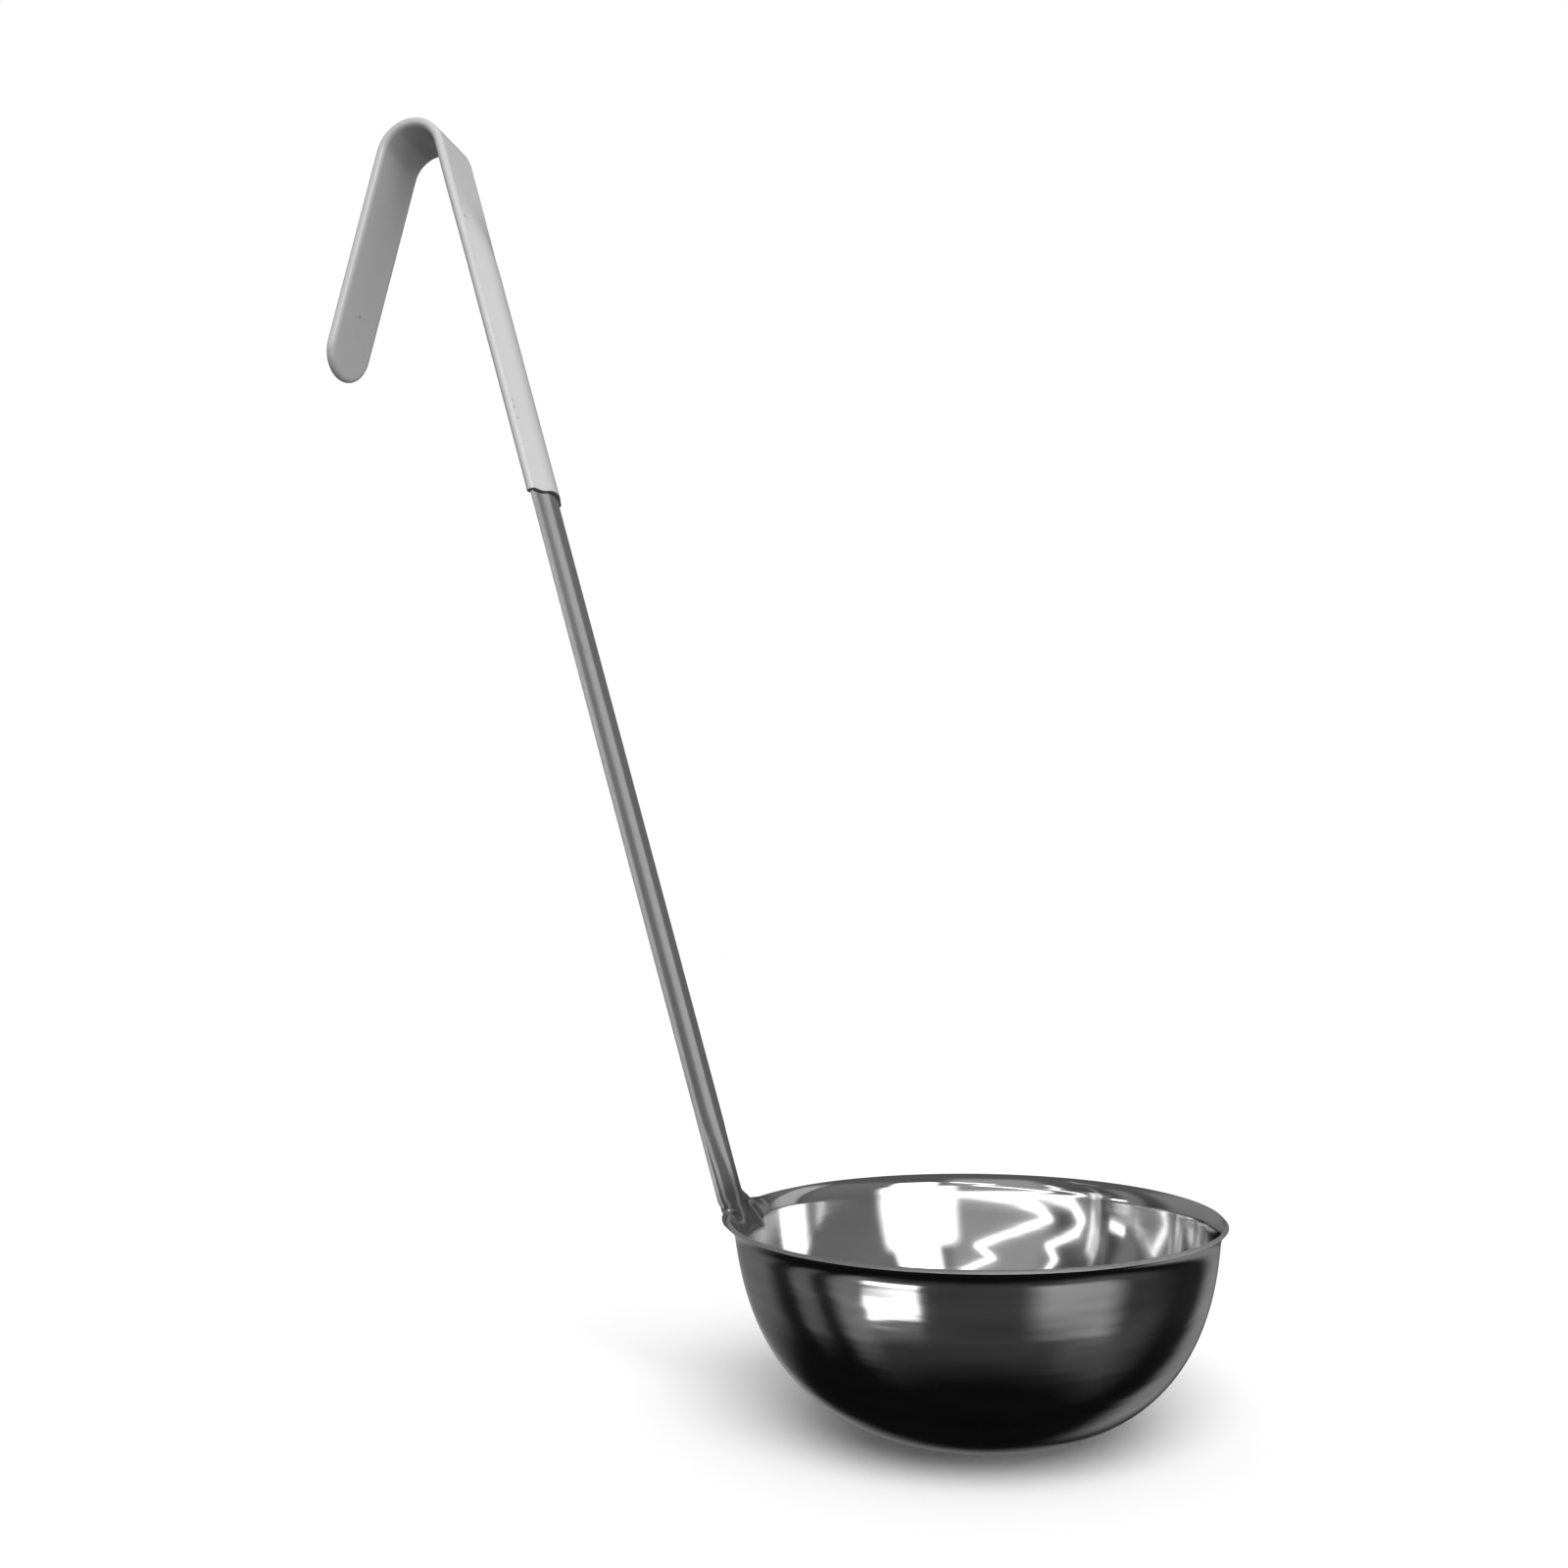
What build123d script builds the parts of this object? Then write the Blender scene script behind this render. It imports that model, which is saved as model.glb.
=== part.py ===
from build123d import *
import os
from math import asin, atan, cos, radians, sin, sqrt, tan

# Soup ladle, 12 fluid ounces: one stainless stamping with a dipped vinyl grip.
# Millimetres, +Z up, bowl's foot centred on the origin, handle on the -X side.

# Sheet and bowl
sheet = 1.0              # gauge of the stainless sheet
rim_dia = 120.0          # outside of the pouring lip
bowl_height = 50.0       # foot to the top of the lip
lip_flare = 2.9          # how far the lip stands out past the wall
lip_height = 4.5         # height over which the wall flares into the lip
foot_dia = 28.0          # small flat left under the bowl
bowl_fullness = 2.4      # exponent of the bowl's curve, 2 is an ellipse
wall_shares = (0.06, 0.14, 0.27, 0.45, 0.66, 0.84)

# Handle strip, raised into a stiffening rib between the bowl and the hook
strip_width = 17.0       # flat strip over the hook
channel_width = 16.0     # the same strip once the rib is pressed in it
channel_rise = 2.4       # how far the rib stands towards the bowl
handle_standoff = 2.2    # the strip's edges pass this far outside the rim, at its height
handle_lean = 15.8       # degrees off vertical
handle_length = 315.3    # rim's height to the start of the hook, along the strip
runout_length = 34.0     # the rib fades into the flat strip over this length
runout_gap = 10.0        # flat strip left between the rib's end and the hook
across_shares = (-1.0, -0.8, -0.6, -0.35, 0.0, 0.35, 0.6, 0.8, 1.0)
rib_shares = (0.0, 0.24, 0.62, 0.94, 1.0, 0.94, 0.62, 0.24, 0.0)
runout_shares = (1.0, 0.85, 0.5, 0.15, 0.0)
runout_step_shares = (0.0, 0.25, 0.5, 0.75, 1.0)

# Root, where the strip grows out of the lip
root_height = 12.5       # height of the blend above the rim
root_spread = 12.0       # half width of the blend where it leaves the lip
root_core = 0.5          # thickness of the blend's foot inside the lip's sheet
foot_rise_shares = (0.0, 0.5, 0.8)
foot_spread_shares = (1.0, 1.0, 0.98)
root_rise_shares = (0.04, 0.14, 0.32, 0.6, 1.0)
root_spread_shares = (0.62, 0.27, 0.09, 0.02, 0.0)
root_rib_shares = (0.0, 0.05, 0.35, 0.72, 1.0)
root_bow_shares = (1.0, 0.25, 0.0, 0.0, 0.0)
root_tilt_shares = (0.0, 0.3, 0.65, 1.0, 1.0)
root_step_shares = (0.17, 0.07, 0.0, 0.0, 0.0)
root_slope_shares = (2.4, 1.6, 1.0, 1.0, 1.0)

# Hook at the handle's end
hook_radius = 10.1       # bend, to the middle of the strip
hook_splay = 15.4        # degrees off vertical, away from the handle
hook_leg = 67.0          # end of the bend to the steel's rounded tip

# Dipped grip
coat = 0.9               # vinyl on each face of the strip
grip_start = 203.0       # the coat begins this far above the rim, along the strip

# Derived places
half_sheet = sheet / 2
wall_radius = rim_dia / 2 - lip_flare
rim_middle = rim_dia / 2 - half_sheet
rim_level = bowl_height - half_sheet
lip_base = rim_level - lip_height
lip_radius = (lip_height ** 2 + lip_flare ** 2) / (2 * lip_flare)
lip_centre = wall_radius - half_sheet + lip_radius
lip_turn = 2 * atan(lip_flare / lip_height)
lean = radians(handle_lean)
handle_reach = rim_dia / 2 + handle_standoff
rib_end = handle_length - runout_gap
rib_fade = rib_end - runout_length
hook_turn = 180 - hook_splay - handle_lean


def wall_at(height, inset):
    """Bowl radius at a height, on the outside (inset 0) or the inside (inset sheet)."""
    depth = (rim_level - height) / (rim_level - inset)
    return (wall_radius - inset) * (1 - depth ** bowl_fullness) ** (1 / bowl_fullness)


def wall_curve(inset):
    """Half section of the bowl from the edge of the foot to the start of the lip."""
    span = lip_base - inset
    middle = [(wall_at(inset + s * span, inset), inset + s * span) for s in wall_shares]
    points = [(foot_dia / 2, inset), *middle, (wall_radius - inset, lip_base)]
    return Spline(*points, tangents=((1, 0), (0, 1)))


def lip_point(turn, radius):
    """Point of the lip's flare, at a turn from the wall and a radius from its centre."""
    return (lip_centre - radius * cos(turn), lip_base + radius * sin(turn))


def lip_curve(radius):
    """Arc of the lip's flare at a radius from its centre, from the wall to the rim."""
    return ThreePointArc(*[lip_point(turn, radius) for turn in (0, lip_turn / 2, lip_turn)])


def bowl_shape():
    """Bowl with its flared lip and rounded rim, spun from its half section."""
    outer, inner = wall_curve(0), wall_curve(sheet)
    lip_out, lip_in = lip_curve(lip_radius - half_sheet), lip_curve(lip_radius + half_sheet)
    end = lip_curve(lip_radius)
    nose = end @ 1 + (end % 1) * half_sheet
    section = make_face([
        Line((0, 0), outer @ 0), outer, lip_out, ThreePointArc(lip_out @ 1, nose, lip_in @ 1),
        lip_in, inner, Line(inner @ 0, (0, sheet)), Line((0, sheet), (0, 0)),
    ])
    return revolve(Plane.XZ * section, Axis.Z)


def lip_middle(rise):
    """Radius and slope of the lip's middle at a rise above its base."""
    turn = asin(rise / lip_radius)
    return lip_centre - lip_radius * cos(turn), turn


def strip_outline(half_width, rib, bow, thick):
    """Strip section: a rib raised towards +Y, a bow that brings the edges to +Y, round edges."""
    reach = half_width - thick / 2
    middle = [(reach * a, rib * r + bow * a * a) for a, r in zip(across_shares, rib_shares)]
    curve = Spline(*middle)
    stations = [(s + 1) / 2 for s in across_shares]
    sides = []
    for side in (1, -1):
        points = []
        for s in stations:
            along = curve % s
            points.append(curve @ s + Vector(-along.Y, along.X) * side * thick / 2)
        sides.append(Spline(*points))
    front, back = sides
    left = ThreePointArc(front @ 0, curve @ 0 - (curve % 0) * thick / 2, back @ 0)
    right = ThreePointArc(front @ 1, curve @ 1 + (curve % 1) * thick / 2, back @ 1)
    return Wire([front, right, back, left])


def flat_face(half_width, thick):
    """Section of the flat strip, with round edges."""
    return SlotOverall(2 * half_width, thick)


def station(radius, height, angle):
    """Plane across the strip: its X lies across, its Y points to the bowl or up over the hook."""
    return Plane(origin=(-radius, 0, height), x_dir=(0, -1, 0), z_dir=(-sin(angle), 0, cos(angle)))


def handle_station(distance):
    """Station on the straight handle, on the line of the strip's edges."""
    return station(handle_reach + distance * sin(lean), rim_level + distance * cos(lean), lean)


def rib_line(height):
    """Radius of the rib's crest at a height."""
    return handle_reach - channel_rise / cos(lean) + (height - rim_level) * tan(lean)


def root_shapes():
    """Blend from the lip's flare into the ribbed strip: one loft inside the lip, one above it."""
    sections = []
    for rise, spread in zip(foot_rise_shares, foot_spread_shares):
        radius, slope = lip_middle(rise * lip_height)
        half = root_spread * spread
        bow = radius - sqrt(radius ** 2 - half ** 2)
        outline = strip_outline(half, 0, bow, root_core / cos(slope))
        sections.append(station(radius, lip_base + rise * lip_height, 0) * outline)
    half_channel = channel_width / 2
    rows = zip(root_rise_shares, root_spread_shares, root_rib_shares, root_bow_shares,
               root_tilt_shares, root_step_shares, root_slope_shares)
    for rise, spread, rib, bow, tilt, step, slope in rows:
        height = rim_level + rise * root_height
        half = half_channel + spread * (root_spread - half_channel)
        sag = bow * (rim_middle - sqrt(rim_middle ** 2 - half ** 2))
        thick = sheet / cos(lean * (slope - tilt))
        lift = channel_rise * rib
        plane = station(rib_line(height) - step * lip_flare, height, lean * tilt)
        sections.append(plane * Pos(0, -lift) * strip_outline(half, lift, sag, thick))
    rim = len(foot_rise_shares)
    return [Solid.make_loft(sections[:rim + 1]), Solid.make_loft(sections[rim:])]


def strip_shape(thick, extra, start):
    """Strip from a distance along the handle to the rounded tip, grown by extra at its edges."""
    half_channel = channel_width / 2 + extra
    half_strip = strip_width / 2 + extra
    full = make_face(handle_station(start) * strip_outline(half_channel, channel_rise, 0, thick))
    solids = [extrude(full, rib_fade - start)]
    fading = []
    for step, fade in zip(runout_step_shares, runout_shares):
        half = half_strip + fade * (half_channel - half_strip)
        outline = strip_outline(half, channel_rise * fade, 0, thick)
        fading.append(handle_station(rib_fade + step * runout_length) * outline)
    solids.append(Solid.make_loft(fading))
    flat = flat_face(half_strip, thick)
    solids.append(extrude(handle_station(rib_end) * flat, runout_gap))
    top = handle_station(handle_length)
    pivot = top.origin - top.y_dir * hook_radius
    axis = Axis(pivot, (0, -1, 0))
    solids.append(revolve(top * flat, axis, hook_turn))
    end = bend_plane(top, pivot)
    straight = hook_leg - strip_width / 2
    solids.append(extrude(end * flat, straight))
    tip = end.offset(straight)
    half_flat = split(tip * flat, Plane(origin=tip.origin, z_dir=tip.x_dir), keep=Keep.TOP)
    solids.append(revolve(half_flat, Axis(tip.origin, -tip.y_dir), 180))
    return solids


def bend_plane(plane, pivot):
    """The plane carried round the hook's bend."""
    turn = radians(hook_turn)
    arm, way = plane.y_dir, plane.z_dir
    out = arm * cos(turn) + way * sin(turn)
    ahead = way * cos(turn) - arm * sin(turn)
    return Plane(origin=pivot + out * hook_radius, x_dir=plane.x_dir, z_dir=ahead)


def root_end():
    """Distance along the handle at which the blend hands over to the strip."""
    crest = rib_line(rim_level + root_height) - handle_reach
    return crest * sin(lean) + root_height * cos(lean)


def ladle_body():
    return fused([bowl_shape(), *root_shapes(), *strip_shape(sheet, 0, root_end())])


def grip_sleeve(body):
    """Dipped coat: the strip grown by the coat, less the steel inside it."""
    solid = fused(strip_shape(sheet + 2 * coat, coat, grip_start))
    return solid - body


def fused(solids):
    shape = solids[0]
    for solid in solids[1:]:
        shape = shape + solid
    return shape


if __name__ == "__main__":
    os.makedirs("parts", exist_ok=True)
    body = ladle_body()
    for name, shape in (("ladle_body", body), ("grip_sleeve", grip_sleeve(body))):
        print(name, shape.is_valid, len(shape.solids()), round(shape.volume, 1), shape.bounding_box())
        export_step(shape, f"parts/{name}.step")
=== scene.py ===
# Soup ladle: polished stainless stamping with a dipped vinyl grip on its hooked handle.
# Metres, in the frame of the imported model: +Z up, the bowl's foot on the origin, the handle on the -X side.
# The camera stands on the -Y side, so "near" means the -Y edge of the handle and "far" the +Y edge.
from math import asin, atan, cos, pi, radians, sin, tan

import bmesh
import bpy
import numpy as np
from mathutils import Matrix, Vector


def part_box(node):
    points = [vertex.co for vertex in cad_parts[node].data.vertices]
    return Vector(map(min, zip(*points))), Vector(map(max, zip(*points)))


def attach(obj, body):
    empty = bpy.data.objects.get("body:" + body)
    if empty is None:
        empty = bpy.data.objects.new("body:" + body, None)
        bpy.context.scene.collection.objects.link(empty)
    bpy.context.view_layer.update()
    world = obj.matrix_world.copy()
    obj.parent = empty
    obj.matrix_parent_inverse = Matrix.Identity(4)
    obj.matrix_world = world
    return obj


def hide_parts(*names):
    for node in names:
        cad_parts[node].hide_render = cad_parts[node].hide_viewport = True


MM = 0.001
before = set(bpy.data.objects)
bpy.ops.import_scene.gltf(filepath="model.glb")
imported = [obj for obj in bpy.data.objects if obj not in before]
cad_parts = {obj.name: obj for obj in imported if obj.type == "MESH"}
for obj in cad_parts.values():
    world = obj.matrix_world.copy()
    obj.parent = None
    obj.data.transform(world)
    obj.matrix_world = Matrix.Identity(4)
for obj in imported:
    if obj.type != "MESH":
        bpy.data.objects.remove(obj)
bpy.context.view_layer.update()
_, body_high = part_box("ladle_body")

# Bowl; its rim radius comes from the frame
sheet = 1.0 * MM
rim_radius = body_high.x - sheet / 2
rim_level = 49.5 * MM        # middle of the sheet at the rim
foot_radius = 13.0 * MM
foot_blend = 11.0 * MM       # width of the ring over which the flat foot turns into the wall
wall_radius = 58.4 * MM
wall_level = 66.0 * MM       # where the wall's curve would stand upright
fullness = 2.72              # exponent of the wall's curve, 2 is an ellipse
lip_base = 45.8 * MM
rim_nose = 0.2 * MM          # short straight edge of the lip

# Handle strip and hook
lean = radians(15.8)
strip_half = 8.5 * MM
channel_half = 8.0 * MM      # half width where the rib is pressed in
rib_rise = 2.4 * MM
standoff = 2.2 * MM
reach = rim_radius + sheet / 2 + standoff
handle_length = 315.3 * MM   # rim's level to the hook's bend
runout_gap = 10.0 * MM       # flat strip between the rib's end and the bend
runout_length = 34.0 * MM    # the rib fades over this length
hook_radius = 10.1 * MM
hook_splay = 15.4            # degrees off vertical
hook_turn = radians(180 - hook_splay) - lean
hook_leg = 67.0 * MM
round_crown = 1.35           # exponent of the rib's crown on the handle
ridge_crown = 1.9            # added to it at the root, where the crown is a ridge
ridge_height = 24.0 * MM     # the ridge dies out over this height

# Root, where the strip leaves the rim
root_height = 12.5 * MM
root_fillet = 1.3 * MM
root_spread = channel_half + root_fillet
pull_core = 0.8 * channel_half
pull_base, pull_climb = 41.0 * MM, 2.5 * MM
crest_base, crest_climb = 42.5 * MM, 4.5 * MM
bow_height = 2.5 * MM        # the rim's bow dies out over this height
side_blend = 3.0 * MM        # half width of the blend from the near side to the far side

# Wings: the sheet beside the crest, pressed out past the rim. A pair holds the near and the far side's value.
wing_spread = (13.5 * MM, 12.0 * MM)
wing_base = (42.5 * MM, 45.3 * MM)
wing_share = (1.0, 0.62)
wing_climb = 4.0 * MM        # a wing grows to its full size over this height above its base
wing_even_height = 3.0 * MM  # both sides are alike from this height above the rim
bulge_share = 0.42           # extra on the near side, under the rim
bulge_depth = 2.5 * MM       # it is full this far under the rim

# Dipped coat
coat = 0.9 * MM
grip_start = 203.0 * MM
grip_thick = sheet / 2 + coat
dip_relax = 14.0 * MM        # the wave of the dip line has died out after this distance

# Dip line's edge: distance in millimetres and share of the coat's thickness, from inside the steel outwards
DIP_EDGE = (
    (0.08, -0.3), (0.0, 0.55), (0.02, 0.8), (0.12, 0.97),
    (0.3, 1.06), (0.7, 1.07), (1.4, 1.03), (2.4, 1.0),
)
dip_shade_rows = 3             # rows of faces that get the painted shade of the end face
dip_length = 4.0 * MM        # the strip's own rows take over at this distance
tip_gap = 0.3 * MM           # least space between the last row of the leg and the first of the tip

# Rounded cut edges
edge_round = 0.4             # share of the gauge
edge_segments = 3
edge_angle = 60              # degrees between faces, from which an edge is rounded

# Grid counts
bowl_rings = 84
bowl_columns = 232
profile_samples = 4001
lip_samples = 300
strip_columns = 36
root_rows = 36
strip_rows = (64, 26, 5, 40, 14)
tip_rows = 14
grip_columns = 33
grip_curl_columns = 9
grip_tip_rows = 18

# Grid spacings
ring_power = 0.8             # under 1 the bowl's rings lie closer together up the wall
column_crowding = 0.6        # 0 is even, more brings the bowl's columns together beside the root
root_power = 1.5             # over 1 the root's rows lie closer together at the rim
strip_crowding = 1.3
grip_crowding = 1.35


def smooth(x):
    """Smooth step from 0 to 1 over x from 0 to 1, with flat slopes and curvatures at both ends."""
    x = np.clip(x, 0, 1)
    return x * x * x * (x * (6 * x - 15) + 10)


def edge_steps(count, crowding):
    """Steps from -1 to 1 that lie closer together towards both ends."""
    return np.sin(np.linspace(-1, 1, count) * crowding) / sin(crowding)


def nearness(across):
    """1 on the near side of the handle, 0 on the far side, blended over its middle."""
    return (1 - np.tanh(across / side_blend)) / 2


def sided(pair, across):
    """A pair's near or far value, blended over the handle's middle."""
    near, far = pair
    return far + (near - far) * nearness(across)


def new_piece(name, points, faces, materials, body="root"):
    """Mesh object at the origin from a point array and face lists, smooth shaded, riding on its body."""
    mesh = bpy.data.meshes.new(name)
    mesh.from_pydata(points.tolist(), [], faces)
    mesh.polygons.foreach_set("use_smooth", np.ones(len(mesh.polygons), bool))
    for material in materials:
        mesh.materials.append(material)
    mesh.update()
    piece = bpy.data.objects.new(name, mesh)
    bpy.context.scene.collection.objects.link(piece)
    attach(piece, body)
    return piece


def grid_faces(index):
    """Quads between neighbouring rows and columns of an array of vertex numbers."""
    a, b = index[:-1, :-1], index[:-1, 1:]
    c, d = index[1:, 1:], index[1:, :-1]
    return np.stack([a, b, c, d], -1).reshape(-1, 4)


# Shape of the bowl
def wall_line(level):
    """Radius and lean of the wall's middle at a level: a superellipse, (r / R)^n + (depth / H)^n = 1."""
    tall = wall_level - sheet / 2
    depth = (wall_level - level) / tall
    radius = wall_radius * (1 - depth ** fullness) ** (1 / fullness)
    slope = (wall_radius / radius) ** (fullness - 1) * depth ** (fullness - 1) * wall_radius / tall
    return radius, slope


def bowl_profile(count):
    """Radius and height of the sheet's middle from the centre to the lip's edge.

    Wall: the superellipse of wall_line, flattened over the foot. Lip: an arc that takes up the wall's lean
    and turns outwards to the rim, with a short straight nose. The rings lie closer together up the wall."""
    turn = np.linspace(0, pi / 2, profile_samples)
    radius = wall_radius * np.sin(turn) ** (2 / fullness)
    level = sheet / 2 + (wall_level - sheet / 2) * (1 - np.cos(turn) ** (2 / fullness))
    flat = smooth((radius - foot_radius) / foot_blend)
    level = sheet / 2 + (level - sheet / 2) * flat
    keep = level < lip_base
    start, slope = wall_line(lip_base)
    rise, out = rim_level - lip_base, rim_radius - start
    first = atan(slope)
    last = 2 * atan(out / rise) - first
    bend = np.linspace(first, last, lip_samples)
    lip_radius = out / (cos(first) - cos(last))
    radius = np.concatenate([radius[keep], start + lip_radius * (cos(first) - np.cos(bend))])
    level = np.concatenate([level[keep], lip_base + lip_radius * (np.sin(bend) - sin(first))])
    radius = np.append(radius, radius[-1] + rim_nose * sin(last))
    level = np.append(level, level[-1] + rim_nose * cos(last))
    run = np.concatenate([[0], np.cumsum(np.hypot(np.diff(radius), np.diff(level)))])
    stops = np.linspace(0, 1, count) ** ring_power * run[-1]
    return np.interp(stops, run, radius), np.interp(stops, run, level)


def strip_shares():
    """Places of the strip's columns over its half width, -1 to 1, closer together towards its edges."""
    return edge_steps(strip_columns + 1, strip_crowding)


def bowl_turns(rim):
    """Directions of the bowl's columns: fine ones across the handle's root, at pi, the rest round the bowl.

    The rest lie closer together beside the root, by a sine."""
    reach_turn = asin(root_spread / rim)
    root = pi + np.arcsin(strip_shares() * root_spread / rim)
    rest = np.linspace(0, 1, bowl_columns - strip_columns + 1)[1:-1]
    rest = rest - column_crowding * np.sin(2 * pi * rest) / (2 * pi)
    return np.concatenate([root, pi + reach_turn + (2 * pi - 2 * reach_turn) * rest])


def root_pull(across):
    """How fully the sheet follows the rib's crest instead of the lip: 1 in the middle, 0 past the blend."""
    return 1 - smooth((np.abs(across) - pull_core) / (root_spread - pull_core))


def root_wing(across, crown):
    """How far the sheet lies behind the crest, as a share of the rib.

    0 on the crest, 1 at the strip's edge, and 0 again where the wing has spread out into the rim."""
    near, far = wing_spread
    inside = 1 - rib_shape(np.clip(across / channel_half, -1, 1), crown)
    spread = np.where(across < 0, near, far)
    outside = 1 - smooth((np.abs(across) - channel_half) / (spread - channel_half))
    return np.where(np.abs(across) <= channel_half, inside, outside)


def root_line(level):
    """Radius of the sheet's middle on the handle's centre line, near the rim: wall, then the rib's crest."""
    crest = reach - rib_rise / cos(lean) + (level - rim_level) * tan(lean)
    wall, _ = wall_line(np.minimum(level, lip_base))
    return wall + (crest - wall) * smooth((level - crest_base) / crest_climb)


def bowl_points(radius, level, turns):
    """Points of the bowl's middle surface: rings of the profile, pressed out behind the rib at the root."""
    ring, turn = np.meshgrid(radius, turns, indexing="ij")
    height = np.broadcast_to(level[:, None], ring.shape)
    across = ring * np.sin(turn)
    behind = np.cos(turn) < 0
    pull = np.where(behind, root_pull(across), 0) * smooth((height - pull_base) / pull_climb)
    ring = ring + (root_line(height) - ring) * pull
    out = np.sqrt(np.maximum(ring ** 2 - across ** 2, 0))
    grown = smooth((height - sided(wing_base, across)) / wing_climb)
    bulge = bulge_share * nearness(across) * smooth((rim_level - height) / bulge_depth)
    share = (sided(wing_share, across) + bulge) * grown
    wing = root_wing(across, rib_crown(0)) * share * rib_rise / cos(lean)
    return np.stack([np.where(behind, -out - wing, out), across, height], -1)


# Shape of the handle strip
def rib_crown(height):
    """Exponent of the rib's crown at a height above the rim: a ridge at the root, round further up."""
    return round_crown + ridge_crown * (1 - smooth(height / ridge_height))


def rib_shape(across, crown=round_crown):
    """Height of the pressed rib over the strip's width, -1 to 1, as a share: one crown, (1 - a^2)^crown."""
    return np.clip(1 - across ** 2, 0, 1) ** crown


def path_point(run):
    """Centre, direction and front normal of the strip's edge line at distances from the rim's level.

    Straight up the lean, then an arc of the hook's radius, then the straight leg."""
    bend = np.clip((run - handle_length) / hook_radius, 0, hook_turn)
    straight = np.minimum(run, handle_length)
    leg = np.maximum(run - handle_length - hook_radius * hook_turn, 0)
    start_x = -(reach + straight * sin(lean))
    start_z = rim_level + straight * cos(lean)
    angle = lean + bend
    centre_x = start_x - hook_radius * (cos(lean) - np.cos(angle)) - leg * np.sin(angle)
    centre_z = start_z - hook_radius * (sin(lean) - np.sin(angle)) + leg * np.cos(angle)
    zero = np.zeros_like(run)
    centre = np.stack([centre_x, zero, centre_z], -1)
    ahead = np.stack([-np.sin(angle), zero, np.cos(angle)], -1)
    front = np.stack([np.cos(angle), zero, np.sin(angle)], -1)
    return centre, ahead, front


def rib_fade(run):
    """Share of the rib's height left at a distance: full on the handle, none near the hook."""
    end = handle_length - runout_gap
    return 1 - smooth((run - (end - runout_length)) / runout_length)


def tip_half(run, half, end, radius):
    """Half width of the strip: its own, closing on a circle of the given radius at the tip."""
    into = np.clip((run - (end - radius)) / radius, 0, 1)
    return half * np.sqrt(np.clip(1 - into ** 2, 0, 1))


def strip_end():
    """Distance of the steel's rounded tip."""
    return handle_length + hook_radius * hook_turn + hook_leg


def strip_runs(first):
    """Distances of the strip's rows: sparse on the straight handle, fine on run-out, bend and tip."""
    end = handle_length - runout_gap
    bend_end = handle_length + hook_radius * hook_turn
    round_start = strip_end() - strip_half
    stops = [first, end - runout_length, end, handle_length, bend_end, round_start]
    rows = [np.linspace(start, stop, count, endpoint=False)
            for start, stop, count in zip(stops, stops[1:], strip_rows)]
    rows.append(round_start + strip_half * np.sin(np.linspace(0, pi / 2, tip_rows)))
    return np.concatenate(rows)


def strip_points(runs, across):
    """Points of the strip's middle surface: the section's width and rib carried along the path."""
    centre, _, front = path_point(runs)
    fade = rib_fade(runs)
    half = strip_half + fade * (channel_half - strip_half)
    half = tip_half(runs, half, strip_end(), strip_half)
    crown = rib_crown(runs * cos(lean) + rib_rise * sin(lean))[:, None]
    lift = rib_rise * fade[:, None] * rib_shape(across[None, :], crown)
    points = centre[:, None, :] + lift[..., None] * front[:, None, :]
    points[..., 1] += across[None, :] * half[:, None]
    return points


def root_points(rim_row, shares, heights):
    """Rows between the rim and the straight strip, by height above the rim.

    The width falls on a fillet of a quarter circle. The crest follows its line, the sheet beside it stays
    behind by the rib's height, the rim's bow dies out, and the rows tip over to the strip's own lean."""
    level = rim_row[0, 2] + heights
    drop = np.clip(root_fillet - heights, 0, root_fillet)
    width = channel_half + root_fillet - np.sqrt(root_fillet ** 2 - drop ** 2)
    y = shares[None, :] * width[:, None]
    crest = root_line(level)[:, None]
    bow = (crest - np.sqrt(crest ** 2 - y ** 2)) * (1 - smooth(heights / bow_height))[:, None]
    tip = smooth(heights / root_height)[:, None]
    share = sided(wing_share, y)
    share = share + (1 - share) * smooth(heights / wing_even_height)[:, None]
    wing = root_wing(y, rib_crown(heights)[:, None]) * rib_rise * share
    x = -(crest - bow + wing * (1 / cos(lean) + (cos(lean) - 1 / cos(lean)) * tip))
    z = level[:, None] - wing * sin(lean) * tip
    return np.stack([x, y, z], -1)


def build_body(materials):
    """One unbroken sheet, bowl to tip: the handle's columns start on the bowl's rim.

    A modifier gives the gauge."""
    radius, level = bowl_profile(bowl_rings)
    bowl = bowl_points(radius, level, bowl_turns(radius[-1]))
    rings, columns = bowl.shape[:2]
    index = 1 + np.arange((rings - 1) * columns).reshape(rings - 1, columns)
    closed = np.concatenate([index, index[:, :1]], 1)
    faces = grid_faces(closed)[:, ::-1].tolist()
    faces += [[0, int(b), int(a)] for a, b in zip(closed[0, :-1], closed[0, 1:])]
    points = np.concatenate([bowl[0, :1], bowl[1:].reshape(-1, 3)])

    shares = -strip_shares()
    rim_index = index[-1, :strip_columns + 1]
    heights = root_height * np.linspace(0, 1, root_rows + 1)[1:] ** root_power
    lower = root_points(points[rim_index], shares, heights)
    middle = strip_columns // 2
    first = (lower[-1, middle, 2] - rim_level - rib_rise * sin(lean)) / cos(lean)
    upper = strip_points(strip_runs(first)[1:], shares)
    strip = np.concatenate([lower, upper])
    rows = len(points) + np.arange(strip.shape[0] * strip.shape[1]).reshape(strip.shape[:2])
    faces += grid_faces(np.concatenate([rim_index[None, :], rows]))[:, ::-1].tolist()
    points = np.concatenate([points, strip.reshape(-1, 3)])

    piece = new_piece("ladle_sheet", points, faces, materials)
    tidy_mesh(piece)
    thicken(piece, sheet)
    return piece


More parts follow.
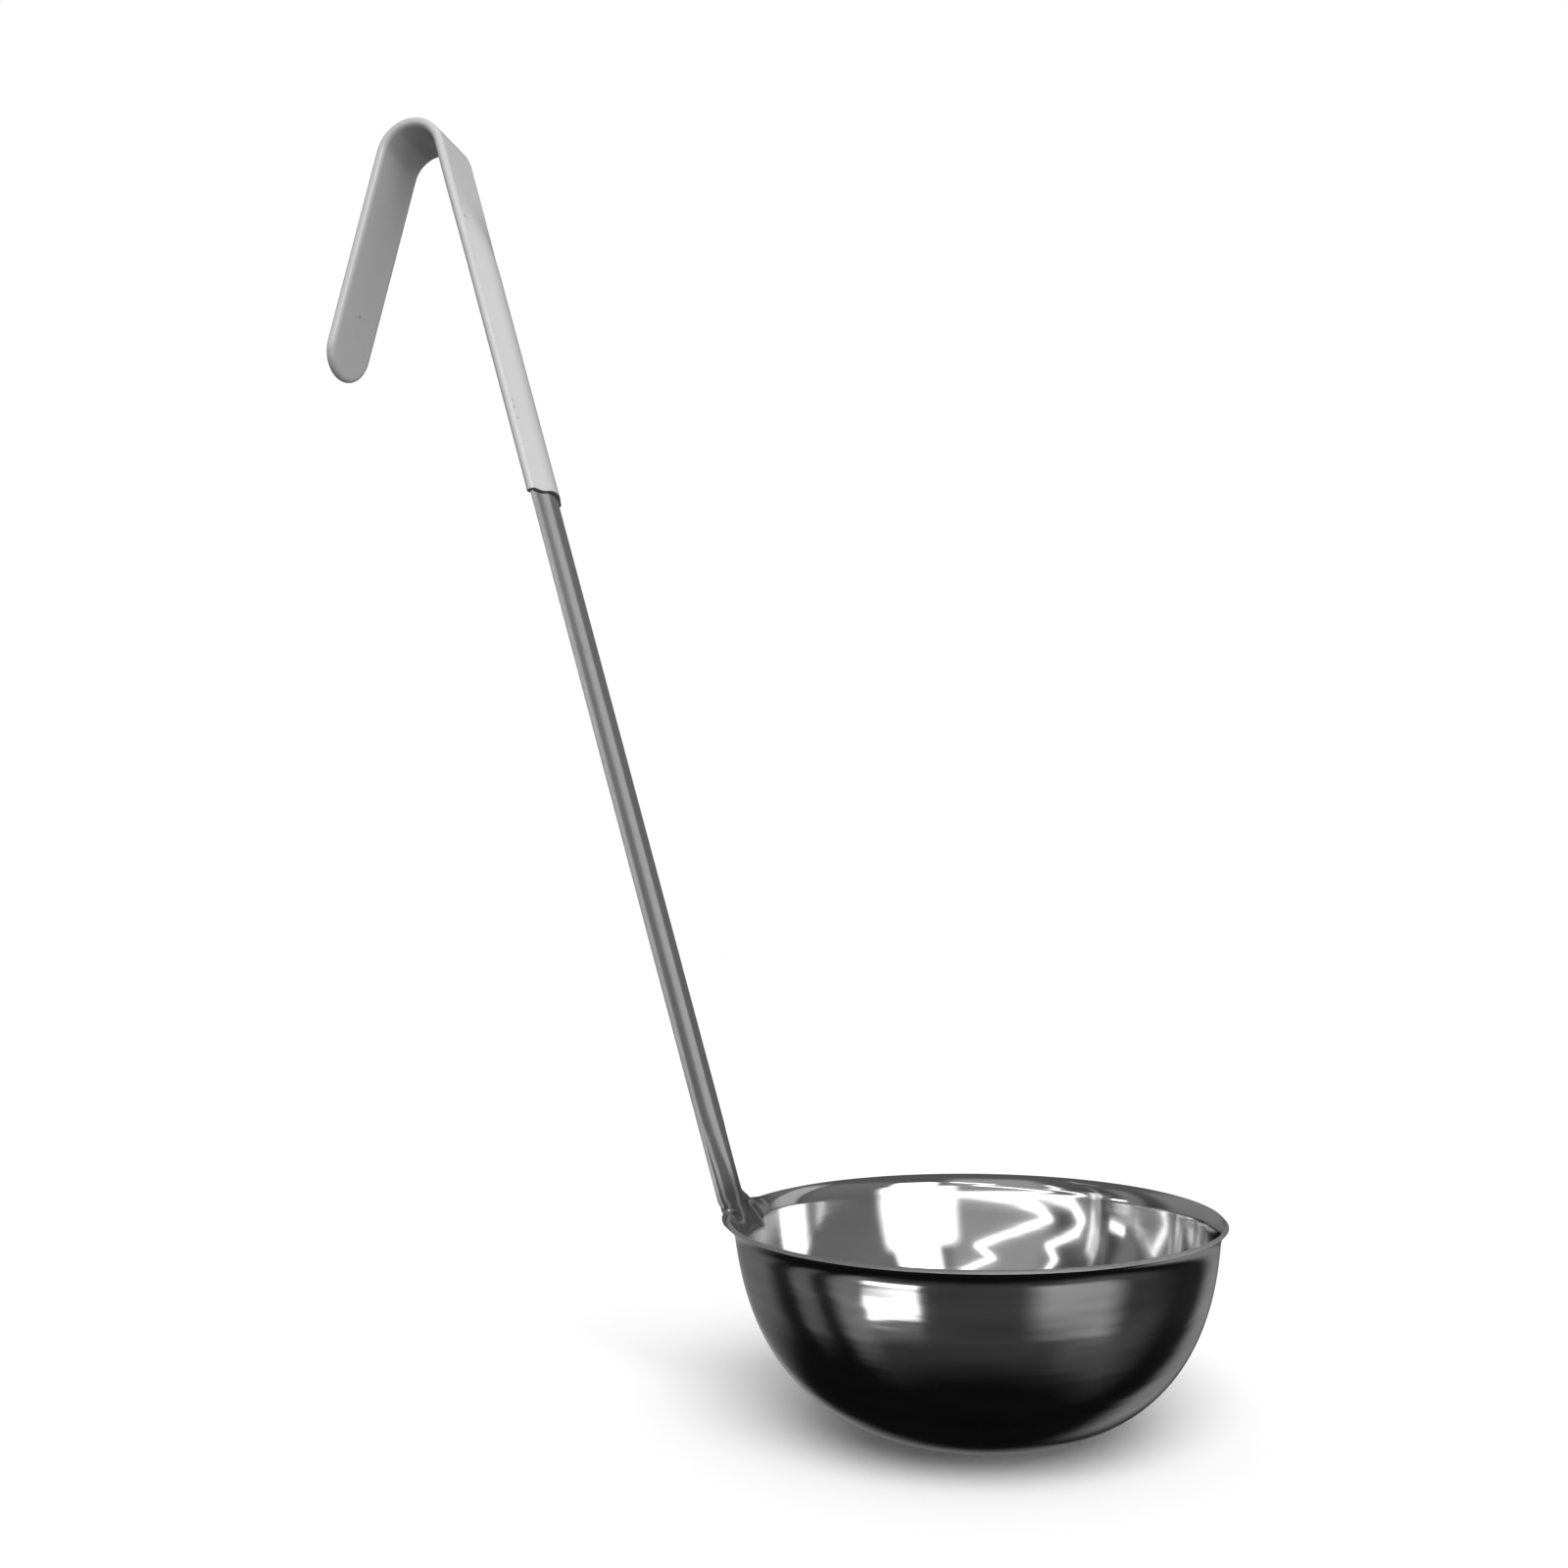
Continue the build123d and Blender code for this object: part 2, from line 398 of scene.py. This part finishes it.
def tidy_mesh(piece):
    """Merges the points that meet at the tip, drops empty faces and makes all faces point one way."""
    shape = bmesh.new()
    shape.from_mesh(piece.data)
    bmesh.ops.remove_doubles(shape, verts=shape.verts, dist=0.002 * MM)
    bmesh.ops.recalc_face_normals(shape, faces=shape.faces)
    shape.to_mesh(piece.data)
    shape.free()


def thicken(piece, gauge):
    """Gives the middle surface its gauge both ways, then rounds the cut edges.

    The materials are, in order, for the inside, the outside and the cut edge."""
    wall = piece.modifiers.new("gauge", "SOLIDIFY")
    wall.thickness = gauge
    wall.offset = 0
    wall.use_quality_normals = True
    wall.material_offset = 1
    wall.material_offset_rim = 2
    edge = piece.modifiers.new("rounded_edges", "BEVEL")
    edge.width = gauge * edge_round
    edge.segments = edge_segments
    edge.limit_method = "ANGLE"
    edge.angle_limit = radians(edge_angle)


# Shape of the dipped coat
def hump(shares, middle, spread):
    """Bell of height 1 at its middle: exp(-((share - middle) / spread)^2)."""
    return np.exp(-((shares - middle) / spread) ** 2)


def dip_wave(shares, turn):
    """How far below its start the dip line hangs, over the strip's width, in metres.

    The front has a hump a fifth of the width in from the near edge and a step down towards the far edge. The
    back has one low hump. They are blended round the strip's edges by the turn of the coat's direction."""
    front = (1.55 + 0.7 * hump(shares, -0.62, 0.3) + 0.5 * smooth((shares - 0.5) * 2)) * MM
    back = (1.7 + 0.5 * hump(shares, 0.3, 0.5)) * MM
    return front + (back - front) * (1 - np.cos(turn)) / 2


def grip_loop():
    """Section of the coat as a closed loop: place over the strip's width, and turn of the coat's direction.

    The turn is 0 over the front face, runs to pi round the far edge, is pi on the back and closes at 2 pi."""
    flat = edge_steps(grip_columns, grip_crowding)
    curl = np.linspace(0, pi, grip_curl_columns + 2)[1:-1]
    edge = np.ones(grip_curl_columns)
    place = np.concatenate([flat, edge, flat[::-1], -edge])
    turn = np.concatenate([np.zeros(grip_columns), curl, np.full(grip_columns, pi), pi + curl])
    return place, turn


def grip_points(place, turn):
    """Rows of the coat's section along the path, closed round the tip.

    The first rows make the dip line: they start inside the steel, step out to a rounded lip, and hang in a
    wave. Beyond them the coat's face is offset from the strip's along the rib's own normal."""
    core = strip_half + coat - grip_thick
    end = strip_end() + coat - grip_thick
    runs = strip_runs(grip_start + dip_length)
    lip_runs, lip_shares = np.array(DIP_EDGE).T
    tip = end - core + core * np.sin(np.linspace(0, pi / 2, grip_tip_rows))
    runs = np.concatenate([grip_start + lip_runs * MM, runs[runs < end - core - tip_gap], tip])
    thick = sheet / 2 + coat * np.concatenate([lip_shares, np.ones(len(runs) - len(lip_shares))])[:, None]
    relax = 1 - smooth((runs - grip_start) / dip_relax)
    centre, ahead, front = path_point(runs[:, None] - dip_wave(place, turn)[None, :] * relax[:, None])
    fade = rib_fade(runs)[:, None]
    tip_share = np.clip((runs - (end - core)) / core, 0, 1)[:, None]
    round_share = np.sqrt(1 - tip_share ** 2)
    wide = (core + fade * (channel_half - strip_half)) * round_share
    rib = rib_rise * fade * rib_shape(place)[None, :]
    steep = -2 * round_crown * place * rib_shape(place, round_crown - 1)
    slope = steep * rib_rise * fade / np.maximum(wide, core / 4)
    length = np.sqrt(1 + slope ** 2)
    side_way = np.cos(turn) * -slope / length + np.sin(turn) * round_share
    front_way = np.cos(turn) / length
    ahead_way = np.abs(np.sin(turn)) * tip_share
    points = centre + (rib + thick * front_way)[..., None] * front + (thick * ahead_way)[..., None] * ahead
    points[..., 1] += place * wide + thick * side_way
    return points


def build_grip(materials):
    """Coat round the strip, with a cap inside the steel at its start and an end face painted dark as shade.
    """
    place, turn = grip_loop()
    points = grip_points(place, turn)
    index = np.arange(points.shape[0] * points.shape[1]).reshape(points.shape[:2])
    closed = np.concatenate([index, index[:, :1]], 1)
    faces = grid_faces(closed).tolist()
    faces.append([int(v) for v in index[0]])
    piece = new_piece("dipped_grip", points.reshape(-1, 3), faces, materials)
    # painted shade: the first rows, the coat's end face, get the dark paint
    shaded_end_faces = np.zeros(len(faces), int)
    shaded_end_faces[:dip_shade_rows * len(place)] = 1
    piece.data.polygons.foreach_set("material_index", shaded_end_faces)
    tidy_mesh(piece)
    return piece


# Finishes
class Nodes:
    """Short calls that add nodes to a tree and link them."""

    def __init__(self, tree):
        self.tree = tree

    def add(self, kind, **values):
        node = self.tree.nodes.new(kind)
        for name, value in values.items():
            setattr(node, name, value)
        return node

    def put(self, socket, value):
        """Links an output to a socket, or sets the socket's plain value."""
        if isinstance(value, bpy.types.NodeSocket):
            self.tree.links.new(value, socket)
        elif value is not None:
            socket.default_value = value

    def math(self, operation, a, b=None, c=None):
        node = self.add("ShaderNodeMath", operation=operation)
        for socket, value in zip(node.inputs, (a, b, c)):
            self.put(socket, value)
        return node.outputs[0]

    def mix(self, share, low, high):
        """Plain value between low and high."""
        node = self.add("ShaderNodeMix")
        for socket, value in zip((node.inputs[0], node.inputs[2], node.inputs[3]), (share, low, high)):
            self.put(socket, value)
        return node.outputs[0]

    def noise(self, place, scale, detail):
        node = self.add("ShaderNodeTexNoise")
        self.put(node.inputs["Vector"], place)
        node.inputs["Scale"].default_value = scale
        node.inputs["Detail"].default_value = detail
        return node.outputs[0]

    def place(self, x, y, z=0.0):
        node = self.add("ShaderNodeCombineXYZ")
        for socket, value in zip(node.inputs, (x, y, z)):
            self.put(socket, value)
        return node.outputs[0]

    def scaled(self, parts, scales):
        """Place whose parts are each multiplied by a scale, which stretches the noise put on it."""
        return self.place(*[self.math("MULTIPLY", part, scale) for part, scale in zip(parts, scales)])

    def axes(self, place):
        node = self.add("ShaderNodeSeparateXYZ")
        self.put(node.inputs[0], place)
        return node.outputs

    def grey(self, value):
        """Neutral colour of a given lightness."""
        return self.place(value, value, value)

    def bump(self, height, strength, distance, normal=None):
        node = self.add("ShaderNodeBump")
        node.inputs["Strength"].default_value = strength
        node.inputs["Distance"].default_value = distance
        self.put(node.inputs["Height"], height)
        self.put(node.inputs["Normal"], normal)
        return node.outputs[0]

    def vector(self, operation, a, b=None, scale=None):
        node = self.add("ShaderNodeVectorMath", operation=operation)
        self.put(node.inputs[0], a)
        self.put(node.inputs[1], b)
        if scale is not None:
            self.put(node.inputs["Scale"], scale)
        return node.outputs["Value" if operation in ("DOT_PRODUCT", "LENGTH") else "Vector"]

    def distance(self, place, spot):
        return self.vector("LENGTH", self.vector("SUBTRACT", place, spot))

    def strip_distance(self, spot, start, end):
        """Distance in degrees from a spot to the straight line between two corners."""
        along = Vector((end[0] - start[0], end[1] - start[1], 0))
        away = self.vector("SUBTRACT", spot, (*start, 0))
        share = self.math("DIVIDE", self.vector("DOT_PRODUCT", away, along), along.length_squared)
        share = self.math("MAXIMUM", self.math("MINIMUM", share, 1.0), 0.0)
        return self.distance(away, self.vector("SCALE", along, None, share))

    def ramp(self, value, low, high, to_low=0.0, to_high=1.0, kind="SMOOTHSTEP"):
        """Value carried from low..high to to_low..to_high, held at both ends."""
        node = self.add("ShaderNodeMapRange", interpolation_type=kind, clamp=True)
        for name, number in (("Value", value), ("From Min", low), ("From Max", high),
                             ("To Min", to_low), ("To Max", to_high)):
            self.put(node.inputs[name], number)
        return node.outputs["Result"]

    def window(self, value, low, high, soft):
        """1 between two bounds and 0 outside them, with soft ends."""
        return self.math("MULTIPLY", self.ramp(value, low - soft, low + soft),
                         self.ramp(value, high - soft, high + soft, 1.0, 0.0))


def new_material(name):
    """Empty material, its node helper and its shader."""
    material = bpy.data.materials.new(name)
    material.use_nodes = True
    return material, Nodes(material.node_tree), material.node_tree.nodes["Principled BSDF"]


def plain_paint(name, value, rough):
    material, _, shader = new_material(name)
    shader.inputs["Base Color"].default_value = (value, value, value, 1)
    shader.inputs["Roughness"].default_value = rough
    return material


# Texture of the steel: noise steps per metre, sizes in metres
RING_SCALES = (45.0, 45.0, 2600.0)        # along x and y, and up the bowl's wall
LINE_SCALES = (2400.0, 26.0)              # across and along the handle
CLOUD_SCALES = (22.0, 22.0, 160.0)
CLOUD_SPAN = (0.3, 0.7)                   # noise values of the darkest and the lightest cloud
DENT_STRENGTH = 0.5
GRAIN_DEPTH = 0.02 * MM
GRAIN_ROUGHNESS = 0.08
HANDLE_START = (rim_level + 1 * MM, rim_level + 7 * MM)
HANDLE_ROUGHNESS = 0.07                   # added on the handle
WORKED_SHADE_SPOT = (-56 * MM, 1.5 * MM, 46 * MM)
WORKED_SHADE_SPAN = (9 * MM, 17 * MM)           # the zone of rougher steel and painted shade ends between these distances from its spot
# painted shade: the steel's colour is darkened by this share round the root, where the handle meets the bowl
ROOT_SHADE_DARKNESS = 0.55
WORKED_ROUGHNESS = 0.12                   # added in the worked zone


def steel(name, tone, rough, grain_bump, smudge, waves):
    """Stainless steel: fine rings round the bowl's axis, fine lines along the handle, a duller root,
    roughened by working, whose colour is also darkened as painted shade.

    Radius plus height runs evenly up the bowl's wall, so noise stretched along it draws spinning rings.
    On the handle the noise is stretched along the lean. Broad clouds darken the tone by the smudge and
    bend the mirrored shapes by the depth of the waves."""
    material, tree, shader = new_material(name)
    shader.inputs["Metallic"].default_value = 1.0
    coordinates = tree.add("ShaderNodeTexCoord").outputs["Object"]
    x, y, z = tree.axes(coordinates)
    radius = tree.math("SQRT", tree.math("MULTIPLY_ADD", x, x, tree.math("MULTIPLY", y, y)))
    climb = tree.math("ADD", radius, z)
    along = tree.math("MULTIPLY_ADD", z, cos(lean), tree.math("MULTIPLY", x, -sin(lean)))
    rings = tree.noise(tree.scaled((x, y, climb), RING_SCALES), 1.0, 2.0)
    lines = tree.noise(tree.scaled((y, along), LINE_SCALES), 1.0, 2.0)
    clouds = tree.noise(tree.scaled((x, y, z), CLOUD_SCALES), 1.0, 2.0)
    handle = tree.ramp(z, *HANDLE_START)
    grain = tree.mix(handle, rings, lines)
    # mask round the root: rougher steel, and painted shade in the colour
    worked_shade_mask = tree.ramp(tree.distance(coordinates, WORKED_SHADE_SPOT), *WORKED_SHADE_SPAN, 1.0, 0.0)

    value = tree.ramp(clouds, *CLOUD_SPAN, tone - smudge, tone, "LINEAR")
    # painted shade: darker colour round the root's spot
    value = tree.math("MULTIPLY", value, tree.math("MULTIPLY_ADD", worked_shade_mask, -ROOT_SHADE_DARKNESS, 1.0))
    tree.put(shader.inputs["Base Color"], tree.grey(value))
    dull = tree.math("MULTIPLY_ADD", handle, HANDLE_ROUGHNESS, rough)
    dull = tree.math("MULTIPLY_ADD", worked_shade_mask, WORKED_ROUGHNESS, dull)
    tree.put(shader.inputs["Roughness"], tree.math("MULTIPLY_ADD", grain, GRAIN_ROUGHNESS, dull))
    dents = tree.bump(clouds, DENT_STRENGTH, waves)
    tree.put(shader.inputs["Normal"], tree.bump(grain, grain_bump, GRAIN_DEPTH, dents))
    return material


# Small marks on the grip: place in millimetres, radius in millimetres, darkness
GRIP_MARKS = (
    ((-178.8, -0.8, 306.4), 0.45, 0.55),
    ((-179.1, -2.4, 305.5), 0.35, 0.4),
    ((-139.7, -7.2, 328.4), 0.5, 0.5),
    ((-183.9, -4.4, 288.1), 0.4, 0.3),
    ((-123.2, -7.8, 270.2), 0.6, 0.25),
    ((-122.6, -7.9, 268.2), 0.5, 0.3),
    ((-121.7, -7.6, 264.9), 0.6, 0.2),
)


VINYL_CLOUD_SPAN = (0.2, 0.8)
VINYL_TONE = (0.43, 0.445)
VINYL_ROUGHNESS = (0.18, 0.22)
PEEL_STRENGTH, PEEL_DEPTH = 0.12, 0.1 * MM


def dipped_vinyl():
    """Light satin vinyl: a faint cloudiness, soft orange peel and a few small dark marks."""
    material, tree, shader = new_material("vinyl_dip")
    coordinates = tree.add("ShaderNodeTexCoord").outputs["Object"]
    cloud = tree.noise(coordinates, 60.0, 3.0)
    value = tree.ramp(cloud, *VINYL_CLOUD_SPAN, *VINYL_TONE, "LINEAR")
    for place, radius, darkness in GRIP_MARKS:
        away = tree.distance(coordinates, tuple(v * MM for v in place))
        mark = tree.ramp(away, 0.4 * radius * MM, 1.3 * radius * MM, 1 - darkness, 1.0)
        value = tree.math("MULTIPLY", value, mark)
    tree.put(shader.inputs["Base Color"], tree.grey(value))
    rough = tree.ramp(cloud, *VINYL_CLOUD_SPAN, *VINYL_ROUGHNESS, "LINEAR")
    tree.put(shader.inputs["Roughness"], rough)
    peel = tree.noise(coordinates, 420.0, 2.0)
    tree.put(shader.inputs["Normal"], tree.bump(peel, PEEL_STRENGTH, PEEL_DEPTH))
    return material


# Camera at the photograph's place
CAMERA_PLACE = (62.19, -349.32, 116.56)   # millimetres
CAMERA_YAW, CAMERA_PITCH, CAMERA_ROLL = 17.315, 6.457, -0.779
CAMERA_FOCAL = 1427.33                    # in pixels of the photograph
PHOTO_WIDTH = 1600
SENSOR_WIDTH = 36


def build_camera():
    """Camera at its measured place, turned by yaw, pitch and roll."""
    place = Vector(CAMERA_PLACE) * MM
    yaw, pitch, roll = radians(CAMERA_YAW), radians(CAMERA_PITCH), radians(CAMERA_ROLL)
    ahead = Vector((-sin(yaw) * cos(pitch), cos(yaw) * cos(pitch), sin(pitch)))
    right = Vector((cos(yaw), sin(yaw), 0))
    up = right.cross(ahead)
    camera = bpy.data.objects.new("camera", bpy.data.cameras.new("camera"))
    bpy.context.scene.collection.objects.link(camera)
    axes = Matrix((right * cos(roll) + up * sin(roll), up * cos(roll) - right * sin(roll), -ahead))
    camera.matrix_world = Matrix.Translation(place) @ axes.transposed().to_4x4()
    camera.data.sensor_width = SENSOR_WIDTH
    camera.data.lens = SENSOR_WIDTH * CAMERA_FOCAL / PHOTO_WIDTH
    camera.data.clip_start = 0.01
    bpy.context.scene.camera = camera


def build_floor(paint):
    """Wide pale floor under the foot. It sends no light back up to the ladle, as in a cut-out studio shot."""
    size = 8.0
    points = np.array([[-size, -size, 0], [size, -size, 0], [size, size, 0], [-size, size, 0]])
    mesh = bpy.data.meshes.new("floor")
    mesh.from_pydata(points.tolist(), [], [[0, 1, 2, 3]])
    mesh.materials.append(paint)
    floor = bpy.data.objects.new("floor", mesh)
    bpy.context.scene.collection.objects.link(floor)
    floor.visible_glossy = False
    floor.visible_diffuse = False


# Soft boxes round the ladle: azimuth span and elevation span, softness of the sides and of the ends, all in
# degrees, and brightness. Azimuth 0 is the camera's side, -Y, and 90 is +X.
STUDIO_PANELS = (
    ("window", 21, 58, 3, 24, 6, 3, 4.0),
    ("window_sill", 31, 55, 24, 42, 4, 3, 4.0),
    ("side_glass", -76, -63, 6, 9, 1, 1, 3.0),
    ("side_frame", -58, -55, 2, 20, 1, 3, 1.2),
    ("front_wall", -33, 24, 3, 60, 8, 8, 0.28),
    ("right_glow", 40, 82, -39, -6, 9, 5, 0.38),
    ("right_floor", 58, 98, -54, -40, 10, 6, 0.05),
    ("right_wall", 60, 110, -4, 50, 6, 5, 0.1),
    ("low_card", -45, -17, -35.8, -28, 1.2, 1.2, 3.0),
    ("low_fade", -45, -17, -44, -36, 3, 5, 0.1),
    ("left_wall", -160, -105, -30, 40, 8, 9, 0.16),
    ("left_pane", -88, -74, -38, 40, 4, 8, 0.14),
    ("left_door", -62, -46, -46, 20, 5, 8, 0.2),
    ("back_wall", 114.5, 137, 2, 48, 2.5, 6, 0.42),
    ("far_wall", 140, 190, -4, 50, 5, 8, 0.08),
    ("far_wall_left", -190, -158, -4, 50, 5, 8, 0.08),
    ("behind_low", -190, -148, -40, -12, 8, 8, 0.15),
    ("low_back", 146, 172, -48, -8, 8, 8, 0.25),
    ("room_low", -60, 112, -55, -22, 12, 14, 0.06),
)

# Thin strip lamps, as corner points in azimuth and elevation
STUDIO_STRIPS = (
    ((34, 3.5), (10, 4.8), (-12, 6.3), (-26, 8.3), (-32, 11.3),
     (-15.5, 17.7), (7.7, 26.3), (-2, 32.5), (21, 42)),
    ((12, 3), (-25, 3.5), (-44, 5), (-50, 9), (-48, 13.8), (-33, 22.2), (-38.7, 27.6), (-35, 37)),
)
FAR_FROM_STRIPS = 90.0
LAMP_EDGE = (0.7, 2.6)       # degrees from its line, over which a lamp fades
LAMP_BRIGHT = 2.0
HALO_WIDTH, HALO_BRIGHT = 7.0, 0.15


def mirrored_room(tree, turn, rise):
    """Brightness of the dim room that the steel mirrors: a rise upwards, the soft boxes and the strips."""
    glow = tree.ramp(rise, -50, 60, 0.006, 0.12)
    for _, left, right, low, high, side_soft, end_soft, bright in STUDIO_PANELS:
        share = tree.math("MULTIPLY", tree.window(turn, left, right, side_soft),
                          tree.window(rise, low, high, end_soft))
        glow = tree.math("MULTIPLY_ADD", share, bright, glow)
    spot = tree.place(turn, rise)
    near = FAR_FROM_STRIPS
    for corners in STUDIO_STRIPS:
        for start, end in zip(corners, corners[1:]):
            near = tree.math("MINIMUM", tree.strip_distance(spot, start, end), near)
    glow = tree.math("MULTIPLY_ADD", tree.ramp(near, *LAMP_EDGE, 1.0, 0.0), LAMP_BRIGHT, glow)
    return tree.math("MULTIPLY_ADD", tree.ramp(near, 0.0, HALO_WIDTH, 1.0, 0.0), HALO_BRIGHT, glow)


def soft_light(tree, turn, rise):
    """Brightness of the light on the vinyl and the floor: from above, and from the right in front."""
    above = tree.ramp(rise, -40, 25, 0.12, 0.58)
    across = tree.math("MULTIPLY", tree.ramp(turn, 5, 35), tree.ramp(turn, 90, 120, 1.0, 0.0))
    upright = tree.math("MULTIPLY", tree.ramp(rise, -55, -30), tree.ramp(rise, 15, 40, 1.0, 0.0))
    return tree.math("MULTIPLY_ADD", tree.math("MULTIPLY", across, upright), 1.2, above)


def build_world():
    """White surround for the camera, soft light for what scatters it, dim room for what the steel mirrors."""
    world = bpy.data.worlds.new("studio")
    world.use_nodes = True
    world.node_tree.nodes.clear()
    tree = Nodes(world.node_tree)
    x, y, z = tree.axes(tree.add("ShaderNodeTexCoord").outputs["Generated"])
    turn = tree.math("DEGREES", tree.math("ARCTAN2", x, tree.math("MULTIPLY", y, -1.0)))
    rise = tree.math("DEGREES", tree.math("ARCSINE", z))
    light = tree.add("ShaderNodeLightPath").outputs
    plain = tree.mix(light["Is Camera Ray"], soft_light(tree, turn, rise), 1.0)
    shown = tree.mix(light["Is Glossy Ray"], plain, mirrored_room(tree, turn, rise))
    sky = tree.add("ShaderNodeBackground")
    sky.inputs["Color"].default_value = (1, 1, 1, 1)
    tree.put(sky.inputs["Strength"], shown)
    tree.put(tree.add("ShaderNodeOutputWorld").inputs[0], sky.outputs[0])
    world.cycles.sampling_method = "NONE"
    bpy.context.scene.world = world


def soft_sun(power, spread, side):
    """Very wide light for the pale floor and the vinyl, from the given side, not mirrored by the steel."""
    data = bpy.data.lights.new("ceiling", "SUN")
    data.energy, data.angle = power, radians(spread)
    light = bpy.data.objects.new("ceiling", data)
    light.rotation_euler = (-Vector(side)).to_track_quat("-Z", "Y").to_euler()
    light.visible_glossy = False
    bpy.context.scene.collection.objects.link(light)


steel_inside = steel("steel_polished", tone=0.72, rough=0.05, grain_bump=0.05, smudge=0.04, waves=0.06 * MM)
steel_outside = steel("steel_satin", tone=0.64, rough=0.08, grain_bump=0.12, smudge=0.22, waves=0.3 * MM)
steel_edge = steel("steel_cut_edge", tone=0.75, rough=0.42, grain_bump=0.05, smudge=0.05, waves=0.01 * MM)
vinyl = dipped_vinyl()
# painted shade: dark grey for the coat's end face, standing in for its shadow
vinyl_end_shade = plain_paint("vinyl_dip_end_shade", 0.1, 0.5)
floor_paint = plain_paint("pale_floor", 0.93, 0.9)

ladle = build_body([steel_inside, steel_outside, steel_edge])
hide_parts("ladle_body")
grip = build_grip([vinyl, vinyl_end_shade])
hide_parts("grip_sleeve")

build_camera()
build_floor(floor_paint)
build_world()
soft_sun(power=2.6, spread=45, side=(0.35, -0.9, 1.0))
bpy.context.scene.view_settings.view_transform = "Standard"
